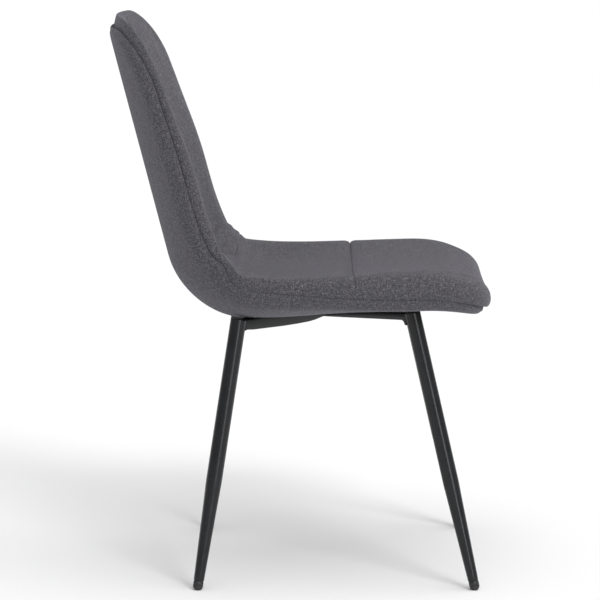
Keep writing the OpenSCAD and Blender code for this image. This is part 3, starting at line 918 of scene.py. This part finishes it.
def coated_material(name, texture, dark, light, roughness, grain, metallic=0.0, specular=0.5):
    made, tree, shader = new_material(name)
    finish = node(tree, "ShaderNodeGroup", node_tree=texture,
                  values={"Grain": grain, "Roughness": roughness, "Spread": 0.12})
    tree.links.new(finish.outputs["Roughness"], shader.inputs["Roughness"])
    tree.links.new(ramp(tree, finish.outputs["Marks"], [(0.3, dark), (0.75, light)]),
                   shader.inputs["Base Color"])
    shader.inputs["Metallic"].default_value = metallic
    shader.inputs["Specular IOR Level"].default_value = specular
    bump(tree, shader, finish.outputs["Height"], 0.10, 0.0003)
    return made


def foam_material():
    made, tree, shader = new_material("polyurethane_foam")
    place = node(tree, "ShaderNodeTexCoord").outputs["Object"]
    cells = node(tree, "ShaderNodeTexVoronoi", [("Vector", place)], values={"Scale": 900.0})
    tree.links.new(ramp(tree, cells.outputs["Distance"],
                        [(0.0, (0.55, 0.49, 0.33)), (0.6, (0.82, 0.77, 0.60))]),
                   shader.inputs["Base Color"])
    shader.inputs["Roughness"].default_value = 0.95
    bump(tree, shader, cells.outputs["Distance"], 0.6, 0.0006)
    return made


def plywood_material():
    made, tree, shader = new_material("moulded_plywood")
    place = node(tree, "ShaderNodeTexCoord").outputs["Object"]
    stretched = node(tree, "ShaderNodeVectorMath", [(0, place)], operation="MULTIPLY",
                     values={1: (60.0, 6.0, 6.0)}).outputs[0]
    grain = node(tree, "ShaderNodeTexNoise", [("Vector", stretched)],
                 values={"Scale": 1.0, "Detail": 6.0, "Distortion": 0.6}).outputs["Fac"]
    tree.links.new(ramp(tree, grain, [(0.3, (0.42, 0.27, 0.14)), (0.7, (0.68, 0.50, 0.30))]),
                   shader.inputs["Base Color"])
    shader.inputs["Roughness"].default_value = 0.6
    bump(tree, shader, grain, 0.2, 0.0004)
    return made


# ---------------------------------------------------------------- putting it together

def dress(piece, material, slot_name, *replaced):
    piece.data.materials.clear()
    piece.data.materials.append(material)
    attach(piece, "root")
    if replaced:
        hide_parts(*replaced)


def dress_node(name, material):
    """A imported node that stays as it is, with a finished material in every slot."""
    data = NODES[name].data
    if not data.materials:
        data.materials.append(material)
    for i in range(len(data.materials)):
        data.materials[i] = material


def build_chair():
    heather = heather_group()
    texture = coat_group()
    fabric = fabric_material(heather)
    lining = lining_material(heather)
    black_coat = coated_material("black_powder_coat", texture, (0.006, 0.0065, 0.0075),
                                 (0.012, 0.013, 0.015), 0.26, 1400.0, specular=0.32)
    nylon = coated_material("black_nylon", texture, (0.010, 0.010, 0.011),
                            (0.018, 0.018, 0.020), 0.5, 700.0)
    oxide = coated_material("black_oxide_steel", texture, (0.04, 0.04, 0.045),
                            (0.09, 0.09, 0.10), 0.38, 900.0, metallic=1.0)
    zinc = coated_material("zinc_plate", texture, (0.52, 0.53, 0.52), (0.70, 0.70, 0.67), 0.32,
                           900.0, metallic=1.0)
    foam = foam_material()
    plywood = plywood_material()

    dress(make_outer_cover(), fabric, "fabric", "outer_cover")
    for pads in (make_seat_pad(), make_back_pad()):
        for cad_node, piece in pads.items():
            dress(piece, fabric, "fabric", cad_node)
    for end in ("front", "rear"):
        for side in ("left", "right"):
            dress(make_leg(end, side), black_coat, "black_steel", f"leg_{end}_{side}")
            dome, collar = make_glide(end, side)
            dress(dome, nylon, "glide", f"foot_glide_{end}_{side}")
            dress(collar, nylon, "glide")
    for cad_node, piece in make_frame().items():
        dress(piece, black_coat, "black_steel", cad_node)
    for name, material in (("outer_foam", foam), ("seat_foam", foam), ("back_foam", foam),
                           ("plywood_shell", plywood), ("dust_cover", lining),
                           ("staples", zinc), ("tee_nuts", zinc), ("frame_washers", zinc),
                           ("frame_bolts", oxide)):
        dress_node(name, material)


# ---------------------------------------------------------------- stage, light, camera

def make_stage():
    half = 60.0
    floor = make_object("floor", [(-half, -half, 0), (half, -half, 0), (half, half, 0),
                                  (-half, half, 0)], [(0, 1, 2, 3)], smooth_shade=False)
    made, _, shader = new_material("pale_floor")
    shader.inputs["Base Color"].default_value = (0.95, 0.95, 0.95, 1)
    shader.inputs["Roughness"].default_value = 0.9
    floor.data.materials.append(made)


def add_sun(name, towards, strength, degrees):
    """Soft, even light from a wide part of the sky."""
    light = bpy.data.lights.new(name, "SUN")
    light.energy = strength
    light.angle = math.radians(degrees)
    lamp = bpy.data.objects.new(name, light)
    bpy.context.scene.collection.objects.link(lamp)
    lamp.rotation_euler = Vector(towards).to_track_quat("Z", "Y").to_euler()


def light_scene():
    world = bpy.data.worlds.new("studio")
    world.use_nodes = True
    world.node_tree.nodes["Background"].inputs[0].default_value = (1, 1, 1, 1)
    world.node_tree.nodes["Background"].inputs[1].default_value = 0.45
    bpy.context.scene.world = world
    add_sun("overhead", (-0.25, -0.25, 1.0), 1.5, 70)
    add_sun("front_side", (-1.0, -0.55, 0.85), 1.05, 20)
    add_sun("low_side", (-1.0, -0.5, 0.08), 0.45, 14)
    bpy.context.scene.view_settings.view_transform = "Standard"


def add_camera():
    data = bpy.data.cameras.new("camera")
    data.sensor_width = CAMERA_SENSOR
    data.lens = CAMERA_LENS
    data.clip_end = 200
    camera = bpy.data.objects.new("camera", data)
    camera.location = CAMERA_AT
    camera.rotation_euler = (math.pi / 2 - CAMERA_DOWN, 0, -math.pi / 2)
    bpy.context.scene.collection.objects.link(camera)
    bpy.context.scene.camera = camera


build_chair()
make_stage()
light_scene()
add_camera()
